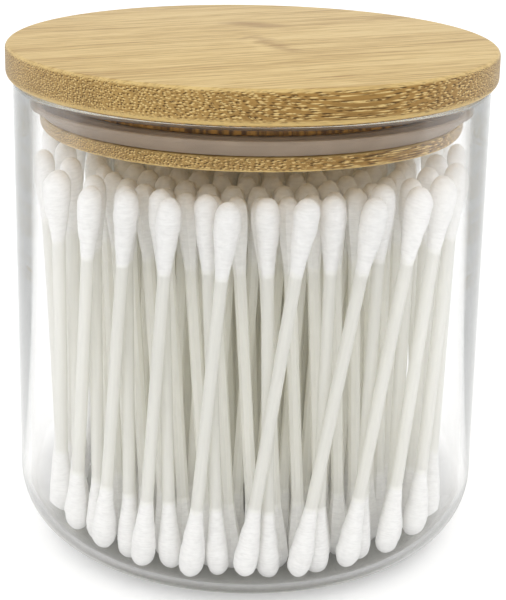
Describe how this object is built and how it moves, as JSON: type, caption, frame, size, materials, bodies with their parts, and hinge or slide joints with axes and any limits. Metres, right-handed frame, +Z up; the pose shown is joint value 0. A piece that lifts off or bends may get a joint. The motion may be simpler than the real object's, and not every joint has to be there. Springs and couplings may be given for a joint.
{
  "type": "cotton swab tub",
  "caption": "Round clear glass jar with a rounded foot, full of cotton swabs, closed by a bamboo lid whose plug carries a silicone seal. The lid lifts off.",
  "frame": {"origin": "middle of the glass base, on the surface that the jar stands on", "axes": "+Z up along the jar's axis, -Y towards the viewer of the picture, +X to the viewer's right"},
  "size_m": [0.1, 0.1, 0.1051],
  "materials": {
    "clear_glass": "clear, polished",
    "disc_bamboo": "sanded, satin lacquer",
    "plug_bamboo": "sanded, satin lacquer",
    "silicone": "translucent, smooth",
    "cotton": "wound cotton on a matt paper stick"
  },
  "bodies": {
    "jar": {"glass_jar": "clear_glass", "swab_01": "cotton", "swab_02": "cotton", "swab_03": "cotton", "swab_04": "cotton", "swab_05": "cotton", "swab_06": "cotton", "swab_07": "cotton", "swab_08": "cotton", "swab_09": "cotton", "swab_10": "cotton", "swab_11": "cotton", "swab_12": "cotton", "swab_13": "cotton", "swab_14": "cotton", "swab_15": "cotton", "swab_16": "cotton", "swab_17": "cotton", "swab_18": "cotton", "swab_19": "cotton", "swab_20": "cotton", "swab_21": "cotton", "swab_22": "cotton", "swab_23": "cotton", "swab_24": "cotton", "swab_25": "cotton", "swab_26": "cotton", "swab_27": "cotton", "swab_28": "cotton", "swab_29": "cotton", "swab_30": "cotton", "swab_31": "cotton", "swab_32": "cotton", "swab_33": "cotton", "swab_34": "cotton", "swab_35": "cotton", "swab_36": "cotton", "swab_37": "cotton", "swab_38": "cotton", "swab_39": "cotton", "swab_40": "cotton", "swab_41": "cotton", "swab_42": "cotton", "swab_43": "cotton", "swab_44": "cotton", "swab_45": "cotton", "swab_46": "cotton", "swab_47": "cotton", "swab_48": "cotton", "swab_ring_1": "cotton", "swab_ring_2": "cotton", "swab_ring_3": "cotton", "swab_ring_4": "cotton", "swab_ring_5": "cotton"},
    "lid": {"lid_disc": "disc_bamboo", "lid_plug": "plug_bamboo", "seal_ring": "silicone"}
  },
  "joints": [
    {"name": "lid_lift", "type": "slide", "parent": "jar", "child": "lid", "axis": [0, 0, 1], "range_m": [0, 0.06]}
  ]
}
